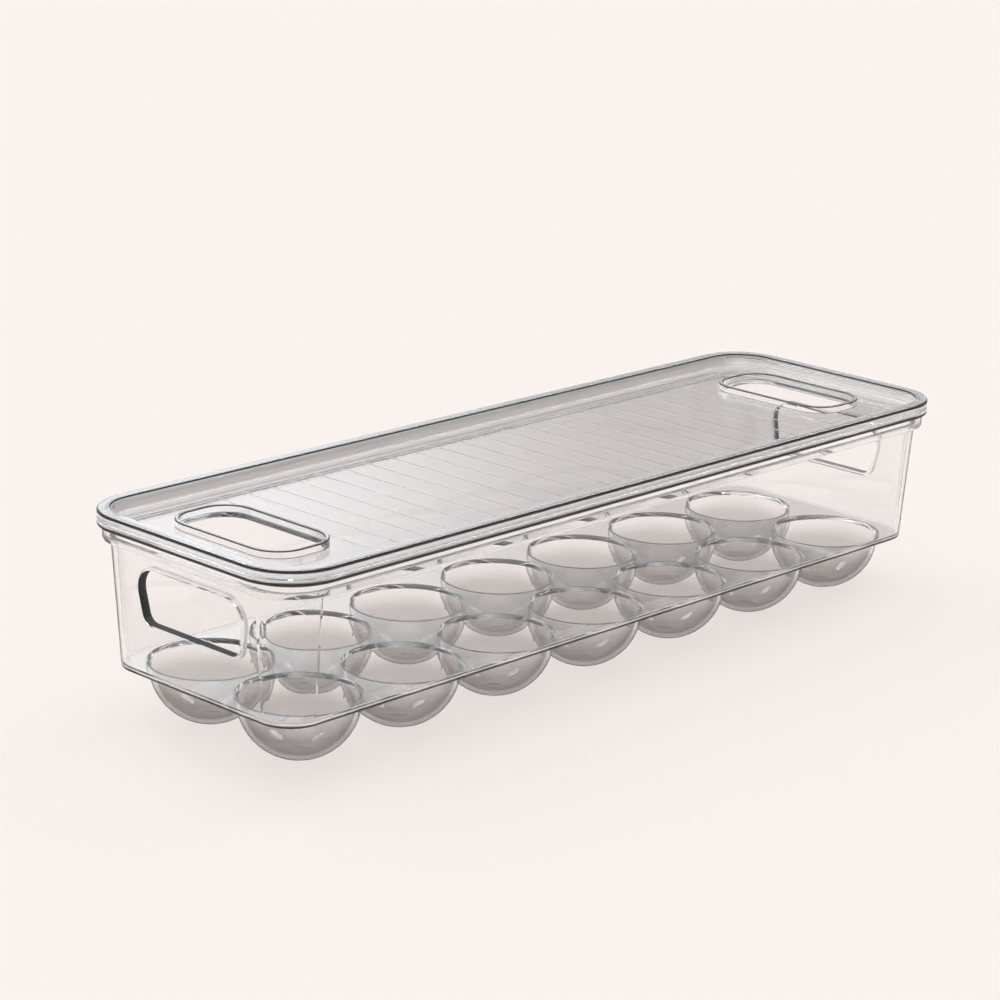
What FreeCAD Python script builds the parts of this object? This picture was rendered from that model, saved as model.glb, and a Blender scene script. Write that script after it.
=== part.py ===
# Clear two-piece egg holder: a tray with two rows of round cups under its floor, and a lift-off lid.
# Millimetres, +Z up, +X along the length. The origin lies on the table under the middle of the tray,
# so the small flats under the cups are at z = 0.
import FreeCAD, Part
import math
import os

# Egg cups, in rows sunk below the floor
cups_along = 7
cups_across = 2
cup_mouth_radius = 21.0
cup_lip_radius = 1.6
cup_depth = 21.0
cup_thickness = 1.5
cup_foot_cut = 0.45
cup_web_along = 3.9
cup_web_across = 2.8

# Tray floor and walls; the walls lean outwards as they rise
floor_thickness = 1.8
floor_end_margin = 3.25
floor_side_margin = 0.45
floor_edge_radius = 0.4
base_edge_radius = 0.8
wall_thickness = 1.8
wall_height = 45.2
wall_lean = 3.2

# Tray rim: a band that steps out from the walls and ends in the lip that the lid sits on
rim_step = 2.7
rim_thickness = 1.2
rim_reveal = 5.2
rim_edge_radius = 0.5
ledge_thickness = 1.8
ledge_edge_radius = 0.5
lip_edge_radius = 0.4

# Hand holes in the end walls, wider at the top, with a thick edge on the inside
handle_top_width = 55.0
handle_base_width = 47.0
handle_height = 19.8
handle_drop = 5.2
handle_top_corner_radius = 8.0
handle_base_corner_radius = 4.0
handle_edge_width = 1.0
handle_edge_depth = 1.6

# Fit of the lid over the lip
skirt_clearance = 0.3
channel_clearance = 0.3
seat_clearance = 0.15

# Lid: a sunk panel inside a raised rim, which is a channel turned upside down over the lip
lid_corner_radius = 20.0
lid_skirt_height = 5.55
lid_skirt_thickness = 1.5
lid_inner_wall_thickness = 1.1
lid_top_thickness = 1.4
lid_panel_thickness = 1.6
lid_recess_depth = 5.0
lid_outer_edge_radius = 0.9
lid_inner_edge_radius = 0.4
lid_panel_edge_radius = 0.5
lid_skirt_edge_radius = 0.3
lid_channel_edge_radius = 0.3
lid_groove_drop = 2.9
lid_groove_depth = 0.45
lid_groove_height = 1.0
lid_groove_edge_radius = 0.2

# Finger openings in the lid, one near each end, each with a raised collar
opening_width = 27.0
opening_length = 54.0
opening_corner_radius = 10.0
opening_end_distance = 32.5
collar_width = 1.6
collar_height = 2.9
collar_edge_radius = 0.5
collar_base_edge_radius = 0.4

# Low ribs across the lid's panel, between the collars
rib_pitch = 11.4
rib_width = 0.8
rib_height = 0.12
rib_collar_distance = 2.0
rib_side_distance = 9.15

# How far a cutting solid runs past the face that it cuts
overrun = 2.0

quarter_turn = 90
full_turn = 360

# Cups: a ball that meets the rounded lip smoothly
bowl_radius = (cup_mouth_radius ** 2 + cup_depth ** 2) / (2 * cup_depth) - cup_lip_radius
cup_radius = bowl_radius + cup_thickness
cup_pitch_along = 2 * cup_mouth_radius + cup_web_along
cup_pitch_across = 2 * cup_mouth_radius + cup_web_across

# Levels, from the table up
bowl_base_z = cup_thickness - cup_foot_cut
ball_z = bowl_base_z + bowl_radius
floor_top_z = bowl_base_z + cup_depth
floor_base_z = floor_top_z - floor_thickness
ledge_base_z = floor_base_z + wall_height
ledge_top_z = ledge_base_z + ledge_thickness
skirt_base_z = ledge_base_z + rim_reveal
lid_top_z = skirt_base_z + lid_skirt_height
panel_top_z = lid_top_z - lid_recess_depth
panel_base_z = panel_top_z - lid_panel_thickness
channel_top_z = lid_top_z - lid_top_thickness
lip_top_z = channel_top_z - seat_clearance
groove_z = lid_top_z - lid_groove_drop
handle_top_z = ledge_base_z - handle_drop
handle_base_z = handle_top_z - handle_height

# Reach of each upright face from the corner centres, which tray and lid share
skirt_outer = lid_corner_radius
skirt_inner = skirt_outer - lid_skirt_thickness
rim_outer = skirt_inner - skirt_clearance
rim_inner = rim_outer - rim_thickness
wall_top_outer = rim_outer - rim_step
wall_base_outer = wall_top_outer - wall_lean
channel_inner = rim_inner - channel_clearance
recess_side = channel_inner - lid_inner_wall_thickness

# Plan: the cups set the foot of the walls, and that sets the corner centres and the lid's outside
base_half_length = (cups_along * cup_pitch_along - cup_web_along) / 2 + floor_end_margin + wall_thickness
base_half_width = (cups_across * cup_pitch_across - cup_web_across) / 2 + floor_side_margin + wall_thickness
core_half_length = base_half_length - wall_base_outer
core_half_width = base_half_width - wall_base_outer
lid_half_length = core_half_length + skirt_outer
opening_x = lid_half_length - opening_end_distance
rib_half_length = core_half_width + recess_side - rib_side_distance
rib_half_span = opening_x - opening_width / 2 - collar_width - rib_collar_distance


def point(x, y, z):
    return FreeCAD.Vector(x, y, z)


def on_section(spot):
    """A profile's place in the upright plane along X."""
    return point(spot.x, 0, spot.y)


def on_end(spot):
    """An end view's place, just outside the near end of the tray."""
    return point(-lid_half_length - overrun, spot.x, spot.y)


def outline(corners, place):
    """A closed wire of lines and arcs. Each corner is across, up and radius; place puts it in space."""
    spots = [point(across, up, 0) for across, up, radius in corners]
    bends = []
    for i, (across, up, radius) in enumerate(corners):
        back = (spots[i - 1] - spots[i]).normalize()
        ahead = (spots[(i + 1) % len(spots)] - spots[i]).normalize()
        half_angle = back.getAngle(ahead) / 2
        setback = radius / math.tan(half_angle)
        middle = (back + ahead).normalize() * (radius / math.sin(half_angle) - radius)
        bends.append([spots[i] + back * setback, spots[i] + middle, spots[i] + ahead * setback])
    edges = []
    for i, (start, middle, end) in enumerate(bends):
        edges.append(Part.LineSegment(place(bends[i - 1][-1]), place(start)).toShape())
        if corners[i][-1] > 0:
            edges.append(Part.Arc(place(start), place(middle), place(end)).toShape())
    return Part.Wire(edges)


def moulding(corners, half_x, half_y):
    """A profile run round a rectangle with round corners: straight on its sides, turned at its corners."""
    face = Part.Face(outline(corners, on_section))
    centres = [(half_x, half_y), (-half_x, half_y), (-half_x, -half_y), (half_x, -half_y)]
    pieces = []
    for i, (x, y) in enumerate(centres):
        next_x, next_y = centres[(i + 1) % len(centres)]
        here = face.rotated(point(0, 0, 0), point(0, 0, 1), quarter_turn * i).translated(point(x, y, 0))
        pieces.append(here.revolve(point(x, y, 0), point(0, 0, 1), quarter_turn))
        there = here.rotated(point(x, y, 0), point(0, 0, 1), quarter_turn)
        pieces.append(there.extrude(point(next_x - x, next_y - y, 0)))
    return pieces[0].fuse(pieces[1:])


def block(half_x, half_y, low, high):
    return Part.makeBox(2 * half_x, 2 * half_y, high - low, point(-half_x, -half_y, low))


def turned(edges):
    """The solid that a closed profile sweeps in a full turn about Z."""
    return Part.Face(Part.Wire(edges)).revolve(point(0, 0, 0), point(0, 0, 1), full_turn)


def on_ball(radius, angle):
    """A point of an upright circle about the cup's ball centre, at an angle from straight down."""
    return point(radius * math.sin(angle), 0, ball_z - radius * math.cos(angle))


def wall_outer(z):
    """Reach of the leaning wall's outside at one level."""
    return wall_base_outer + wall_lean * (z - floor_base_z) / wall_height


def tray_shell():
    """Floor, walls, rim band and lip, before the cups and hand holes."""
    profile = [
        (0, floor_base_z, 0),
        (wall_base_outer, floor_base_z, base_edge_radius),
        (wall_top_outer, ledge_base_z, ledge_edge_radius),
        (rim_outer, ledge_base_z, rim_edge_radius),
        (rim_outer, lip_top_z, lip_edge_radius),
        (rim_inner, lip_top_z, lip_edge_radius),
        (rim_inner, ledge_top_z, ledge_edge_radius),
        (wall_outer(ledge_top_z) - wall_thickness, ledge_top_z, ledge_edge_radius),
        (wall_outer(floor_top_z) - wall_thickness, floor_top_z, floor_edge_radius),
        (0, floor_top_z, 0),
    ]
    sides = moulding(profile, core_half_length, core_half_width)
    return sides.fuse(block(core_half_length, core_half_width, floor_base_z, floor_top_z))


def cup_body():
    """Outside of one cup: the lower part of a ball, cut flat at the table and ending in the floor."""
    low_angle = math.acos(ball_z / cup_radius)
    high_angle = math.acos((ball_z - floor_base_z - floor_thickness / 2) / cup_radius)
    low = on_ball(cup_radius, low_angle)
    middle = on_ball(cup_radius, (low_angle + high_angle) / 2)
    high = on_ball(cup_radius, high_angle)
    foot = point(0, 0, low.z)
    top = point(0, 0, high.z)
    return turned([
        Part.LineSegment(foot, low).toShape(),
        Part.Arc(low, middle, high).toShape(),
        Part.LineSegment(high, top).toShape(),
        Part.LineSegment(top, foot).toShape(),
    ])


def cup_bowl():
    """Inside of one cup: a ball's lower part, whose lip curls outwards into the floor."""
    lip_centre = point(cup_mouth_radius, 0, floor_top_z - cup_lip_radius)
    meet_angle = math.atan2(lip_centre.x, ball_z - lip_centre.z)
    bottom = on_ball(bowl_radius, 0)
    middle = on_ball(bowl_radius, meet_angle / 2)
    meet = on_ball(bowl_radius, meet_angle)
    curl_angle = meet_angle / 2
    curl = lip_centre + point(-math.sin(curl_angle), 0, math.cos(curl_angle)) * cup_lip_radius
    mouth = point(cup_mouth_radius, 0, floor_top_z)
    above = point(cup_mouth_radius, 0, floor_top_z + overrun)
    top = point(0, 0, floor_top_z + overrun)
    return turned([
        Part.Arc(bottom, middle, meet).toShape(),
        Part.Arc(meet, curl, mouth).toShape(),
        Part.LineSegment(mouth, above).toShape(),
        Part.LineSegment(above, top).toShape(),
        Part.LineSegment(top, bottom).toShape(),
    ])


def at_cups(shape):
    """Copies of a shape at every cup."""
    copies = []
    for row in range(cups_across):
        for column in range(cups_along):
            x = (column - (cups_along - 1) / 2) * cup_pitch_along
            y = (row - (cups_across - 1) / 2) * cup_pitch_across
            copies.append(shape.translated(point(x, y, 0)))
    return copies


def handle_bar(growth):
    """A bar along the whole tray with the hand hole's outline, grown on every side."""
    hole = outline([
        (-handle_base_width / 2, handle_base_z, handle_base_corner_radius),
        (handle_base_width / 2, handle_base_z, handle_base_corner_radius),
        (handle_top_width / 2, handle_top_z, handle_top_corner_radius),
        (-handle_top_width / 2, handle_top_z, handle_top_corner_radius),
    ], on_end)
    if growth > 0:
        hole = hole.makeOffset2D(growth)
    return Part.Face(hole).extrude(point(2 * (lid_half_length + overrun), 0, 0))


def handle_edges():
    """The thick edges round the hand holes, on the inside of the end walls."""
    low = handle_base_z - handle_edge_width - overrun
    high = handle_top_z + handle_edge_width + overrun
    near = wall_thickness / 2
    far = wall_thickness + handle_edge_depth
    corners = []
    for z, inset in ((low, near), (high, near), (high, far), (low, far)):
        corners.append((core_half_length + wall_outer(z) - inset, z, 0))
    plate = Part.Face(outline(corners, on_section)).extrude(point(0, 2 * core_half_width, 0))
    plate = plate.translated(point(0, -core_half_width, 0))
    edge = plate.common(handle_bar(handle_edge_width))
    return [edge, edge.mirror(point(0, 0, 0), point(1, 0, 0))]


def egg_tray():
    """The tray, one moulding."""
    tray = tray_shell().fuse(at_cups(cup_body()) + handle_edges())
    return tray.cut(at_cups(cup_bowl()) + [handle_bar(0)]).removeSplitter()


def lid_plate():
    """Panel and rim of the lid, before its openings and ribs."""
    groove_side = skirt_outer - lid_groove_depth
    groove_low = groove_z - lid_groove_height / 2
    groove_high = groove_z + lid_groove_height / 2
    groove_floor = lid_groove_height / 2 - lid_groove_edge_radius
    profile = [
        (0, panel_base_z, 0),
        (channel_inner, panel_base_z, lid_skirt_edge_radius),
        (channel_inner, channel_top_z, lid_channel_edge_radius),
        (skirt_inner, channel_top_z, lid_channel_edge_radius),
        (skirt_inner, skirt_base_z, lid_skirt_edge_radius),
        (skirt_outer, skirt_base_z, lid_skirt_edge_radius),
        (skirt_outer, groove_low, lid_groove_edge_radius),
        (groove_side, groove_z - groove_floor / 2, lid_groove_edge_radius),
        (groove_side, groove_z + groove_floor / 2, lid_groove_edge_radius),
        (skirt_outer, groove_high, lid_groove_edge_radius),
        (skirt_outer, lid_top_z, lid_outer_edge_radius),
        (recess_side, lid_top_z, lid_inner_edge_radius),
        (recess_side, panel_top_z, lid_panel_edge_radius),
        (0, panel_top_z, 0),
    ]
    sides = moulding(profile, core_half_length, core_half_width)
    return sides.fuse(block(core_half_length, core_half_width, panel_base_z, panel_top_z))


def opening_ring(inner, outer, low, high, edge_radius, base_radius):
    """A ring that follows a finger opening's outline, between two reaches from its corner centres."""
    profile = [
        (inner, low, base_radius),
        (outer, low, 0),
        (outer, high, edge_radius),
        (inner, high, edge_radius),
    ]
    half_x = opening_width / 2 - opening_corner_radius
    half_y = opening_length / 2 - opening_corner_radius
    return moulding(profile, half_x, half_y)


def collar():
    """The raised collar of one finger opening, down to the underside of the panel."""
    inner = opening_corner_radius
    outer = inner + collar_width
    top_z = panel_top_z + collar_height
    return opening_ring(inner, outer, panel_base_z, top_z, collar_edge_radius, collar_base_edge_radius)


def rib():
    """One low rib, rooted in the panel."""
    half = rib_width / 2
    root_z = panel_top_z - lid_panel_thickness / 2
    start = -rib_half_length
    left = point(-half, start, panel_top_z)
    right = point(half, start, panel_top_z)
    right_root = point(half, start, root_z)
    left_root = point(-half, start, root_z)
    section = Part.Wire([
        Part.Arc(left, point(0, start, panel_top_z + rib_height), right).toShape(),
        Part.LineSegment(right, right_root).toShape(),
        Part.LineSegment(right_root, left_root).toShape(),
        Part.LineSegment(left_root, left).toShape(),
    ])
    return Part.Face(section).extrude(point(0, 2 * rib_half_length, 0))


def lid():
    """The lid, one moulding."""
    middle_reach = opening_corner_radius + collar_width / 2
    half_x = opening_width / 2 - opening_corner_radius + middle_reach
    half_y = opening_length / 2 - opening_corner_radius + middle_reach
    hole = outline([
        (half_x, half_y, middle_reach),
        (-half_x, half_y, middle_reach),
        (-half_x, -half_y, middle_reach),
        (half_x, -half_y, middle_reach),
    ], lambda spot: point(spot.x, spot.y, panel_base_z - overrun))
    hole = Part.Face(hole).extrude(point(0, 0, lid_panel_thickness + 2 * overrun))
    ends = [point(-opening_x, 0, 0), point(opening_x, 0, 0)]
    rib_count = int(2 * rib_half_span / rib_pitch) + 1
    ribs = [rib().translated(point((i - (rib_count - 1) / 2) * rib_pitch, 0, 0)) for i in range(rib_count)]
    plate = lid_plate().cut([hole.translated(end) for end in ends])
    return plate.fuse([collar().translated(end) for end in ends] + ribs).removeSplitter()


os.makedirs("parts", exist_ok=True)
egg_tray().exportStep("parts/egg_tray.step")
lid().exportStep("parts/lid.step")
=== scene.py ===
# Looks of the clear egg holder, in metres: camera, floor, studio light and the plastic of its two mouldings.
import bpy
import math
from mathutils import Matrix, Vector

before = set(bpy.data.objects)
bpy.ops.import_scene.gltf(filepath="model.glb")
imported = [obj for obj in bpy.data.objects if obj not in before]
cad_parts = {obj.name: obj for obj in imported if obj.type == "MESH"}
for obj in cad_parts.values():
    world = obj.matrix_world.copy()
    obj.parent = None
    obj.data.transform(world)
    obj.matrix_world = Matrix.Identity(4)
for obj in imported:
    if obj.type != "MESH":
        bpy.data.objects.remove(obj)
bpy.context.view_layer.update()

# Camera: azimuth 0 looks along +Y, and the roll turns the picture about the line of sight
camera_azimuth = math.radians(-46.0854)
camera_elevation = math.radians(16.5957)
camera_roll = math.radians(1.5)
camera_distance = 1.1628
camera_target = Vector((0.0321, 0.0518, 0.0380))
camera_lens_mm = 109.6252
camera_sensor_mm = 36.0
camera_clip_end = 100.0

# Floor, a hair below the feet so that no two faces coincide
floor_half_size = 12.0
floor_drop = 0.0002
floor_colour = (0.93, 0.855, 0.815, 1.0)
floor_roughness_share = 0.9

# Studio light, painted on the sky by direction: height is the sine of the elevation, and the other shares
# are how far a unit direction goes away from the main camera and to its right
light_strength = 0.575
backdrop_colour = (0.96, 0.89, 0.86, 1.0)
backdrop_height_shares = (0.08, 0.16)
flag_colour = (0.60, 0.58, 0.57, 1.0)
flag_shares = (-0.3, 0.1)
far_left_colour = (1.62, 1.70, 1.82, 1.0)
far_right_colour = (0.17, 0.18, 0.20, 1.0)
far_side_shares = (-0.10, 0.055)
overhead_colour = (3.4, 3.4, 3.4, 1.0)
overhead_height_shares = (0.86, 0.92)
key_colour = (12.0, 12.0, 12.0, 1.0)
key_directions = ((0.69, 0.0, 0.72), (0.0, 0.67, 0.74))
key_outer_angle = math.radians(11)
key_inner_angle = math.radians(9)

# How often light may bend or bounce, since many clear walls lie behind each other
clear_bounces = 32
gloss_bounces = 24

# Plastic
plastic_ior = 1.55
plastic_roughness_shares = (0.003, 0.012)
smudge_scale = 45.0
smudge_detail = 4.0
smudge_shares = (0.3, 0.7)
wave_scale = 16.0
wave_detail = 1.0
wave_strength_share = 0.04
wave_depth = 0.0006
wall_tint = (0.985, 0.985, 0.985, 1.0)
absorb_colour = (0.42, 0.45, 0.48, 1.0)
absorb_density = 20.0
lamp_pass_colour = (0.97, 0.97, 0.97, 1.0)

# Cups darkened towards the bottom with painted shade: the heights between which this painted shade fades out,
# and how it deepens where they turn away
cup_base_height = 0.012
cup_top_height = 0.0205
cup_painted_shade_tint = (0.61, 0.595, 0.585, 1.0)
cup_side_painted_shade_tint = (0.05, 0.048, 0.047, 1.0)
cup_side_shade_shares = (0.35, 0.9)

# Thin edges painted dark as painted shade: the heights between which each lies, and how softly it ends
line_fade = 0.00006
# Painted shade: the near-black tint of the dark edges
painted_shade_tint = (0.0012, 0.0011, 0.0011, 1.0)
edge_roughness_share = 0.6
rim_outer_painted_shade = (0.0750, 0.0760)
rim_inner_painted_shade = (0.0755, 0.07612)
skirt_painted_shade = (0.0705, 0.0718)
panel_painted_shade = (0.07136, 0.0716)
collar_painted_shade = (0.0736, 0.07404)
floor_painted_shade = (0.0202, 0.0212)
hole_painted_shade = (0.0393, 0.0614)

# Thin edges painted whiter as painted highlights
# Painted highlight: the white tint of the bright edges
painted_highlight_tint = (1.0, 1.0, 1.0, 1.0)
painted_highlight_transmission_share = 0.25
rim_top_painted_highlight = (0.07614, 0.0770)
rim_top_highlight_share = 0.45
rim_painted_highlight = (0.0744, 0.0749)
skirt_painted_highlight = (0.0720, 0.0727)
skirt_highlight_share = 0.5
recess_foot_painted_highlight = (0.07128, 0.0716)
recess_foot_highlight_share = 0.8
rib_painted_highlight = (0.07123, 0.0714)
rib_highlight_share = 0.5
ledge_painted_highlight = (0.0655, 0.0660)
floor_painted_highlight = (0.0214, 0.0220)

# Painted grey shade on the wall round the lid's recess: its heights, how grey its long sides and its ends are
# painted, and the part of the normal along X between which a long side becomes an end
recess_wall_painted_shade = (0.0716, 0.0756)
recess_side_shade_share = 0.5
recess_end_shade_share = 0.1
recess_facing_shares = (0.3, 0.8)

# Which faces carry these painted lines: reach is the distance outwards from the corner centres of both
# mouldings
corner_centre_x = 0.15145
corner_centre_y = 0.03335
collar_reach = 0.008
recess_reach = 0.0161
skirt_reach = 0.0190
wall_foot_reach = 0.0113
ledge_reach = 0.0165

# Painted shade on the edges of the hand holes, fainter where they are seen through plastic
hole_start_x = 0.150
hole_half_width = 0.029
hole_facing_shares = (0.35, 0.65)
hole_through_share = 0.5

# Painted dark outlines where the plastic turns away: of the walls, but not of their level faces, and of the
# cups
wall_level_shares = (0.3, 0.5)
wall_outline_shares = (0.6, 0.95)
cup_outline_shares = (0.72, 0.95)


class Net:
    """A node tree, with short ways to add the nodes that the plastic and the light need."""

    def __init__(self, tree):
        self.nodes = tree.nodes
        self.links = tree.links
        self.nodes.clear()

    def put(self, value, socket):
        """Gives a socket a link or a plain value."""
        if isinstance(value, bpy.types.NodeSocket):
            self.links.new(value, socket)
        else:
            socket.default_value = value

    def read(self, kind, output):
        """One output of a node that only reads something."""
        return self.nodes.new(kind).outputs[output]

    def math(self, operation, first, second=0.0):
        node = self.nodes.new("ShaderNodeMath")
        node.operation = operation
        self.put(first, node.inputs[0])
        self.put(second, node.inputs[1])
        return node.outputs[0]

    def size(self, value):
        """The value without its sign."""
        return self.math("ABSOLUTE", value)

    def times(self, first, *others):
        """The product of shares, which is one only where all of them are."""
        for other in others:
            first = self.math("MULTIPLY", first, other)
        return first

    def most(self, first, *others):
        """The largest of several shares."""
        for other in others:
            first = self.math("MAXIMUM", first, other)
        return first

    def rise(self, value, low, high, start=0.0, end=1.0):
        """A smooth change from start to end while the value goes from low to high."""
        node = self.nodes.new("ShaderNodeMapRange")
        node.interpolation_type = "SMOOTHSTEP"
        self.put(value, node.inputs["Value"])
        self.put(low, node.inputs["From Min"])
        self.put(high, node.inputs["From Max"])
        self.put(start, node.inputs["To Min"])
        self.put(end, node.inputs["To Max"])
        return node.outputs[0]

    def band(self, value, ends):
        """One between two levels and nought beyond them, with soft ends."""
        low, high = ends
        above = self.rise(value, low - line_fade, low + line_fade)
        below = self.rise(value, high - line_fade, high + line_fade, 1.0, 0.0)
        return self.times(above, below)

    def mix(self, factor, first, second):
        node = self.nodes.new("ShaderNodeMix")
        node.data_type = "RGBA"
        self.put(factor, node.inputs["Factor"])
        self.put(first, node.inputs[6])
        self.put(second, node.inputs[7])
        return node.outputs[2]

    def split(self, vector):
        node = self.nodes.new("ShaderNodeSeparateXYZ")
        self.put(vector, node.inputs[0])
        return node.outputs

    def along(self, vector, direction):
        """How far a vector goes along a direction."""
        node = self.nodes.new("ShaderNodeVectorMath")
        node.operation = "DOT_PRODUCT"
        self.put(vector, node.inputs[0])
        self.put(direction, node.inputs[1])
        return node.outputs["Value"]

    def noise(self, vector, scale, detail):
        node = self.nodes.new("ShaderNodeTexNoise")
        self.put(vector, node.inputs["Vector"])
        self.put(scale, node.inputs["Scale"])
        self.put(detail, node.inputs["Detail"])
        return node.outputs[0]


def core_reach(net, x, y):
    """Distance outwards from the rectangle of corner centres that both mouldings share."""
    past_x = net.math("SUBTRACT", net.size(x), corner_centre_x)
    past_y = net.math("SUBTRACT", net.size(y), corner_centre_y)
    corner = net.nodes.new("ShaderNodeCombineXYZ")
    net.put(net.most(past_x, 0.0), corner.inputs[0])
    net.put(net.most(past_y, 0.0), corner.inputs[1])
    length = net.nodes.new("ShaderNodeVectorMath")
    length.operation = "LENGTH"
    net.put(corner.outputs[0], length.inputs[0])
    return length.outputs["Value"]


def lid_painted_lines(net, x, y, z):
    """The lid's painted shade and painted highlights on thin edges: along its rim and skirt, round the
    recess, on collars and ribs.
    """
    reach = core_reach(net, x, y)
    collars = net.math("LESS_THAN", reach, collar_reach)
    wall = net.math("SUBTRACT", net.math("LESS_THAN", reach, recess_reach), collars)
    skirt = net.math("GREATER_THAN", reach, skirt_reach)
    facing = net.size(net.split(net.read("ShaderNodeNewGeometry", "Normal"))["X"])
    # Painted grey shade, stronger on the long sides of the recess wall than on its ends
    painted_grey_shade = net.rise(facing, *recess_facing_shares, recess_side_shade_share, recess_end_shade_share)
    wall_shade = net.times(net.band(z, recess_wall_painted_shade), painted_grey_shade)
    # Painted shade on the lid's thin edges and on the recess wall
    painted_shade_share = net.most(
        net.times(net.most(net.band(z, rim_outer_painted_shade), net.band(z, skirt_painted_shade)), skirt),
        net.times(net.most(net.band(z, rim_inner_painted_shade), wall_shade), wall),
        net.times(net.most(net.band(z, panel_painted_shade), net.band(z, collar_painted_shade)), collars),
    )
    # Painted highlights on the lid's thin edges
    painted_highlight_share = net.most(
        net.times(net.band(z, rim_painted_highlight), skirt),
        net.times(net.band(z, skirt_painted_highlight), skirt_highlight_share, skirt),
        net.times(net.band(z, rib_painted_highlight), collars, rib_highlight_share),
        net.times(net.band(z, recess_foot_painted_highlight), wall, recess_foot_highlight_share),
        net.times(net.band(z, rim_top_painted_highlight), rim_top_highlight_share),
    )
    return painted_shade_share, painted_highlight_share


def tray_painted_lines(net, x, y, z):
    """The tray's painted shade and painted highlights: the walls' feet, the hand holes, under the rim, and
    painted dark outlines.
    """
    reach = core_reach(net, x, y)
    foot = net.math("GREATER_THAN", reach, wall_foot_reach)
    ledge = net.math("GREATER_THAN", reach, ledge_reach)
    normal = net.split(net.read("ShaderNodeNewGeometry", "Normal"))
    turn = net.read("ShaderNodeLayerWeight", "Facing")
    depth = net.read("ShaderNodeLightPath", "Transmission Depth")
    # Painted shade on the hand holes' edges, fainter behind plastic
    hole_shade = net.times(
        net.band(z, hole_painted_shade),
        net.rise(net.size(normal["X"]), *hole_facing_shares, 1.0, 0.0),
        net.rise(depth, 0.0, 1.0, 1.0, hole_through_share),
        net.math("GREATER_THAN", net.size(x), hole_start_x),
        net.math("LESS_THAN", net.size(y), hole_half_width),
    )
    # Painted dark outlines where walls and cups turn away
    upright = net.rise(net.size(normal["Z"]), *wall_level_shares, 1.0, 0.0)
    wall_painted_outline = net.times(net.rise(turn, *wall_outline_shares), upright, foot)
    cup_painted_shade = net.times(net.rise(turn, *cup_outline_shares), net.math("LESS_THAN", z, cup_top_height))
    # Painted shade at the walls' feet joins the other painted shade here
    painted_shade_share = net.most(hole_shade, net.times(net.band(z, floor_painted_shade), foot), wall_painted_outline, cup_painted_shade)
    # Painted highlights at the walls' feet and under the rim
    painted_highlight_share = net.most(
        net.times(net.band(z, floor_painted_highlight), foot),
        net.times(net.band(z, ledge_painted_highlight), ledge),
    )
    return painted_shade_share, painted_highlight_share


def plastic_shader(net, place, tint, painted_shade_share, painted_highlight_share):
    """Polished plastic with faint smudges and slight waves, matt on painted dark edges and whiter on painted
    highlights.
    """
    smudges = net.noise(place, smudge_scale, smudge_detail)
    polish = net.rise(smudges, *smudge_shares, *plastic_roughness_shares)
    bump = net.nodes.new("ShaderNodeBump")
    net.put(wave_strength_share, bump.inputs["Strength"])
    net.put(wave_depth, bump.inputs["Distance"])
    net.put(net.noise(place, wave_scale, wave_detail), bump.inputs["Height"])
    # Painted highlights make the plastic whiter and less clear
    clearness = net.rise(painted_highlight_share, 0.0, 1.0, 1.0, painted_highlight_transmission_share)
    plastic = net.nodes.new("ShaderNodeBsdfPrincipled")
    net.put(tint, plastic.inputs["Base Color"])
    net.put(net.most(polish, net.times(painted_shade_share, edge_roughness_share)), plastic.inputs["Roughness"])
    net.put(bump.outputs[0], plastic.inputs["Normal"])
    net.put(plastic_ior, plastic.inputs["IOR"])
    net.put(clearness, plastic.inputs["Transmission Weight"])
    return plastic.outputs[0]


def pass_lamps(net, shader):
    """Lets shadow rays and diffuse rays straight through, so that the floor under the plastic stays light."""
    straight = net.nodes.new("ShaderNodeBsdfTransparent")
    net.put(lamp_pass_colour, straight.inputs["Color"])
    path = net.nodes.new("ShaderNodeLightPath").outputs
    surface = net.nodes.new("ShaderNodeMixShader")
    net.put(net.most(path["Is Shadow Ray"], path["Is Diffuse Ray"]), surface.inputs[0])
    net.put(shader, surface.inputs[1])
    net.put(straight.outputs[0], surface.inputs[2])
    return surface.outputs[0]


def clear_plastic(name, painted_lines):
    """Clear plastic with painted shade on the cups and thin edges of painted shade and painted highlights;
    the painted shade lies on faces met from outside.
    """
    material = bpy.data.materials.new(name)
    material.use_nodes = True
    net = Net(material.node_tree)
    place = net.read("ShaderNodeTexCoord", "Object")
    spot = net.split(place)
    turn = net.read("ShaderNodeLayerWeight", "Facing")
    # Painted shade: the cups are darkened towards the bottom and further where they turn away
    cup_painted_shade = net.mix(net.rise(turn, *cup_side_shade_shares), cup_painted_shade_tint, cup_side_painted_shade_tint)
    body = net.mix(net.rise(spot["Z"], cup_base_height, cup_top_height), cup_painted_shade, wall_tint)
    painted_shade_share, painted_highlight_share = painted_lines(net, spot["X"], spot["Y"], spot["Z"])
    outside = net.math("SUBTRACT", 1.0, net.read("ShaderNodeNewGeometry", "Backfacing"))
    # Painted shade is kept only on faces met from outside
    painted_shade_share = net.times(painted_shade_share, outside)
    # Painted shade and painted highlights are mixed into the plastic's colour here
    tint = net.mix(painted_highlight_share, net.mix(painted_shade_share, body, painted_shade_tint), painted_highlight_tint)
    shader = plastic_shader(net, place, tint, painted_shade_share, painted_highlight_share)
    absorb = net.nodes.new("ShaderNodeVolumeAbsorption")
    net.put(absorb_colour, absorb.inputs["Color"])
    net.put(absorb_density, absorb.inputs["Density"])
    output = net.nodes.new("ShaderNodeOutputMaterial")
    net.put(pass_lamps(net, shader), output.inputs["Surface"])
    net.put(absorb.outputs[0], output.inputs["Volume"])
    return material


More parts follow.
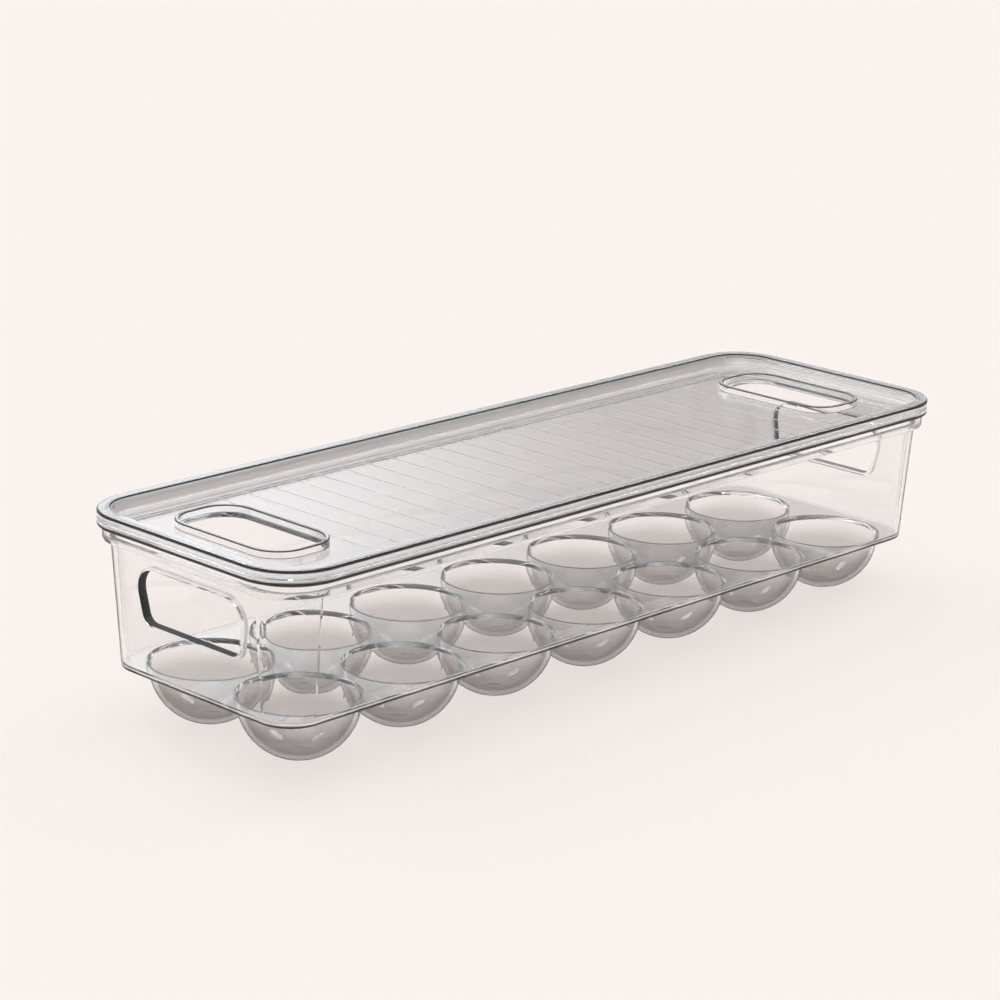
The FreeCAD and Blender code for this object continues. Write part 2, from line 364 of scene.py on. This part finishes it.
def floor_paper():
    material = bpy.data.materials.new("floor_paper")
    material.use_nodes = True
    net = Net(material.node_tree)
    paper = net.nodes.new("ShaderNodeBsdfPrincipled")
    net.put(floor_colour, paper.inputs["Base Color"])
    net.put(floor_roughness_share, paper.inputs["Roughness"])
    net.put(0.0, paper.inputs["Specular IOR Level"])
    output = net.nodes.new("ShaderNodeOutputMaterial")
    net.put(paper.outputs[0], output.inputs["Surface"])
    return material


def make_floor():
    mesh = bpy.data.meshes.new("floor")
    s = floor_half_size
    corners = [(-s, -s, -floor_drop), (s, -s, -floor_drop), (s, s, -floor_drop), (-s, s, -floor_drop)]
    mesh.from_pydata(corners, [], [(0, 1, 2, 3)])
    mesh.materials.append(floor_paper())
    floor = bpy.data.objects.new("floor", mesh)
    bpy.context.scene.collection.objects.link(floor)


def make_world():
    """The studio: pale backdrop low down, grey flags, far side darker to the right, lamps and an overhead."""
    world = bpy.data.worlds.new("studio")
    world.use_nodes = True
    net = Net(world.node_tree)
    place = net.read("ShaderNodeTexCoord", "Generated")
    height = net.split(place)["Z"]
    far = net.along(place, (-math.sin(camera_azimuth), math.cos(camera_azimuth), 0))
    side = net.along(place, (math.cos(camera_azimuth), math.sin(camera_azimuth), 0))
    far_colour = net.mix(net.rise(side, *far_side_shares), far_left_colour, far_right_colour)
    ring = net.mix(net.rise(far, *flag_shares), flag_colour, far_colour)
    sky = net.mix(net.rise(height, *backdrop_height_shares), backdrop_colour, ring)
    sky = net.mix(net.rise(height, *overhead_height_shares), sky, overhead_colour)
    for direction in key_directions:
        toward = net.along(place, Vector(direction).normalized())
        lamp = net.rise(toward, math.cos(key_outer_angle), math.cos(key_inner_angle))
        sky = net.mix(lamp, sky, key_colour)
    background = net.nodes.new("ShaderNodeBackground")
    net.put(sky, background.inputs["Color"])
    net.put(light_strength, background.inputs["Strength"])
    output = net.nodes.new("ShaderNodeOutputWorld")
    net.put(background.outputs[0], output.inputs["Surface"])
    bpy.context.scene.world = world


def make_camera():
    away = Vector((
        math.sin(camera_azimuth) * math.cos(camera_elevation),
        -math.cos(camera_azimuth) * math.cos(camera_elevation),
        math.sin(camera_elevation),
    ))
    data = bpy.data.cameras.new("camera")
    data.lens = camera_lens_mm
    data.sensor_width = camera_sensor_mm
    data.clip_end = camera_clip_end
    camera = bpy.data.objects.new("camera", data)
    aim = (-away).to_track_quat("-Z", "Y").to_matrix().to_4x4()
    roll = Matrix.Rotation(camera_roll, 4, "Z")
    camera.matrix_world = Matrix.Translation(camera_target + away * camera_distance) @ aim @ roll
    bpy.context.scene.collection.objects.link(camera)
    bpy.context.scene.camera = camera


make_camera()
make_floor()
make_world()
# Each moulding gets clear plastic with its own painted shade and painted highlights
for name, painted_lines in (("egg_tray", tray_painted_lines), ("lid", lid_painted_lines)):
    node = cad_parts[name]
    node.data.materials.clear()
    node.data.materials.append(clear_plastic("clear_" + name, painted_lines))

scene = bpy.context.scene
scene.view_settings.view_transform = "Standard"
scene.view_settings.look = "None"
scene.cycles.max_bounces = clear_bounces
scene.cycles.glossy_bounces = gloss_bounces
scene.cycles.transmission_bounces = clear_bounces
scene.cycles.transparent_max_bounces = clear_bounces
